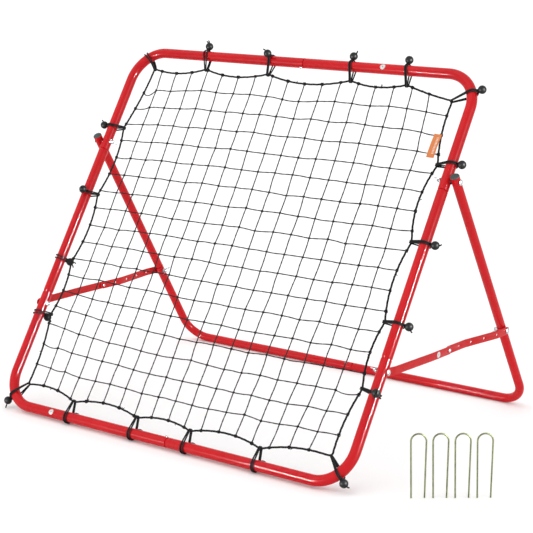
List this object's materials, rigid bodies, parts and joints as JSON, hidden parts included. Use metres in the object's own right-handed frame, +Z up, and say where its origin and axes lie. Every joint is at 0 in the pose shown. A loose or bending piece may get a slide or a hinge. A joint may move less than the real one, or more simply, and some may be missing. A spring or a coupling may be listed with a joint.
{
  "type": "pitch back rebounder",
  "caption": "Folding tubular steel rebound frame with an elastic-tied net that returns a thrown ball; a hinged rear frame held by folding brace links props it up.",
  "frame": {"origin": "centre of the set's footprint, on the floor, with the set standing open for play and its ground stakes beside it", "axes": "+Z up; +X across the frame, to the thrower's right; -Y towards the thrower; the net leans back towards +Y"},
  "size_m": [1.2692, 0.7566, 0.8345],
  "materials": {
    "tube": "glossy red powder coat",
    "brace": "glossy red powder coat on flat bar",
    "hardware": "bright zinc plate",
    "clip": "spring steel, zinc plated",
    "cap": "moulded grey-green plastic",
    "netting": "knotted black polyethylene twine with a roped border",
    "ball_tie": "black braided elastic cord with a black plastic ball",
    "stake_wire": "yellow zinc plated wire"
  },
  "bodies": {
    "root": {"top_left_tube": "tube", "top_right_tube": "tube", "bottom_left_tube": "tube", "bottom_right_tube": "tube", "left_side_tube": "tube", "right_side_tube": "tube", "pivot_bolt_left": "hardware", "rail_bolt_left": "hardware", "pivot_bolt_right": "hardware", "rail_bolt_right": "hardware", "net": "netting", "top_tie_1": "ball_tie", "top_tie_2": "ball_tie", "top_tie_3": "ball_tie", "top_tie_4": "ball_tie", "bottom_tie_1": "ball_tie", "bottom_tie_2": "ball_tie", "bottom_tie_3": "ball_tie", "bottom_tie_4": "ball_tie", "left_tie_1": "ball_tie", "left_tie_2": "ball_tie", "left_tie_3": "ball_tie", "left_tie_4": "ball_tie", "right_tie_1": "ball_tie", "right_tie_2": "ball_tie", "right_tie_3": "ball_tie", "right_tie_4": "ball_tie", "top_left_corner_tie": "ball_tie", "top_right_corner_tie": "ball_tie", "bottom_right_corner_tie": "ball_tie", "bottom_left_corner_tie": "ball_tie", "ground_stake_1": "stake_wire", "ground_stake_2": "stake_wire", "ground_stake_3": "stake_wire", "ground_stake_4": "stake_wire"},
    "rear_frame": {"left_leg_tube": "tube", "right_leg_tube": "tube", "rear_left_tube": "tube", "rear_right_tube": "tube", "left_leg_cap": "cap", "right_leg_cap": "cap", "leg_bolt_left": "hardware", "leg_bolt_right": "hardware"},
    "pivot_wing_nut_left_body": {"pivot_wing_nut_left": "hardware"},
    "rail_wing_nut_left_body": {"rail_wing_nut_left": "hardware"},
    "leg_wing_nut_left_body": {"leg_wing_nut_left": "hardware"},
    "pivot_wing_nut_right_body": {"pivot_wing_nut_right": "hardware"},
    "rail_wing_nut_right_body": {"rail_wing_nut_right": "hardware"},
    "leg_wing_nut_right_body": {"leg_wing_nut_right": "hardware"},
    "front_link_left_body": {"front_link_left": "brace", "knee_bolt_left": "hardware"},
    "rear_link_left_body": {"rear_link_left": "brace", "knee_nut_left": "hardware"},
    "front_link_right_body": {"front_link_right": "brace", "knee_bolt_right": "hardware"},
    "rear_link_right_body": {"rear_link_right": "brace", "knee_nut_right": "hardware"},
    "top_button_body": {"top_button": "clip"},
    "bottom_button_body": {"bottom_button": "clip"},
    "rear_button_body": {"rear_button": "clip"}
  },
  "joints": [
    {"name": "rear_frame_fold", "type": "hinge", "parent": "root", "child": "rear_frame", "pos_m": [-0.10411, 0.02308, 0.59252], "axis": [-1, 0, 0], "range_deg": [0, 53.42]},
    {"name": "front_link_swing_left", "type": "hinge", "parent": "root", "child": "front_link_left_body", "pos_m": [-0.61008, -0.22073, 0.22804], "axis": [-1, 0, 0], "range_deg": [0, 106.62]},
    {"name": "rear_link_swing_left", "type": "hinge", "parent": "rear_frame", "child": "rear_link_left_body", "pos_m": [-0.62068, 0.24659, 0.21526], "axis": [1, 0, 0], "range_deg": [0, 106.62]},
    {"name": "front_link_swing_right", "type": "hinge", "parent": "root", "child": "front_link_right_body", "pos_m": [0.40187, -0.22073, 0.22804], "axis": [-1, 0, 0], "range_deg": [0, 106.62]},
    {"name": "rear_link_swing_right", "type": "hinge", "parent": "rear_frame", "child": "rear_link_right_body", "pos_m": [0.41246, 0.24659, 0.21526], "axis": [1, 0, 0], "range_deg": [0, 106.62]},
    {"name": "pivot_nut_turn_left", "type": "hinge", "parent": "root", "child": "pivot_wing_nut_left_body", "pos_m": [-0.57981, 0.02308, 0.59252], "axis": [1, 0, 0], "continuous": true},
    {"name": "rail_nut_turn_left", "type": "hinge", "parent": "root", "child": "rail_wing_nut_left_body", "pos_m": [-0.57981, -0.22073, 0.22804], "axis": [1, 0, 0], "continuous": true},
    {"name": "leg_nut_turn_left", "type": "hinge", "parent": "rear_frame", "child": "leg_wing_nut_left_body", "pos_m": [-0.60681, 0.24659, 0.21526], "axis": [1, 0, 0], "continuous": true},
    {"name": "pivot_nut_turn_right", "type": "hinge", "parent": "root", "child": "pivot_wing_nut_right_body", "pos_m": [0.37159, 0.02308, 0.59252], "axis": [1, 0, 0], "continuous": true},
    {"name": "rail_nut_turn_right", "type": "hinge", "parent": "root", "child": "rail_wing_nut_right_body", "pos_m": [0.37159, -0.22073, 0.22804], "axis": [1, 0, 0], "continuous": true},
    {"name": "leg_nut_turn_right", "type": "hinge", "parent": "rear_frame", "child": "leg_wing_nut_right_body", "pos_m": [0.39859, 0.24659, 0.21526], "axis": [1, 0, 0], "continuous": true},
    {"name": "top_button_press", "type": "slide", "parent": "root", "child": "top_button_body", "axis": [0, 0.556, 0.8312], "range_m": [0, 0.003], "stiffness_N_per_m": 600, "springref_m": -0.001},
    {"name": "bottom_button_press", "type": "slide", "parent": "root", "child": "bottom_button_body", "axis": [0, -0.556, -0.8312], "range_m": [0, 0.003], "stiffness_N_per_m": 600, "springref_m": -0.001},
    {"name": "rear_button_press", "type": "slide", "parent": "rear_frame", "child": "rear_button_body", "axis": [0, 0.5097, -0.8603], "range_m": [0, 0.003], "stiffness_N_per_m": 600, "springref_m": -0.001}
  ],
  "couplings": [
    {"joint": "front_link_swing_left", "follows": "rear_frame_fold", "ratio": 1.9901},
    {"joint": "rear_link_swing_left", "follows": "rear_frame_fold", "ratio": 1.9901},
    {"joint": "front_link_swing_right", "follows": "rear_frame_fold", "ratio": 1.9901},
    {"joint": "rear_link_swing_right", "follows": "rear_frame_fold", "ratio": 1.9901}
  ]
}
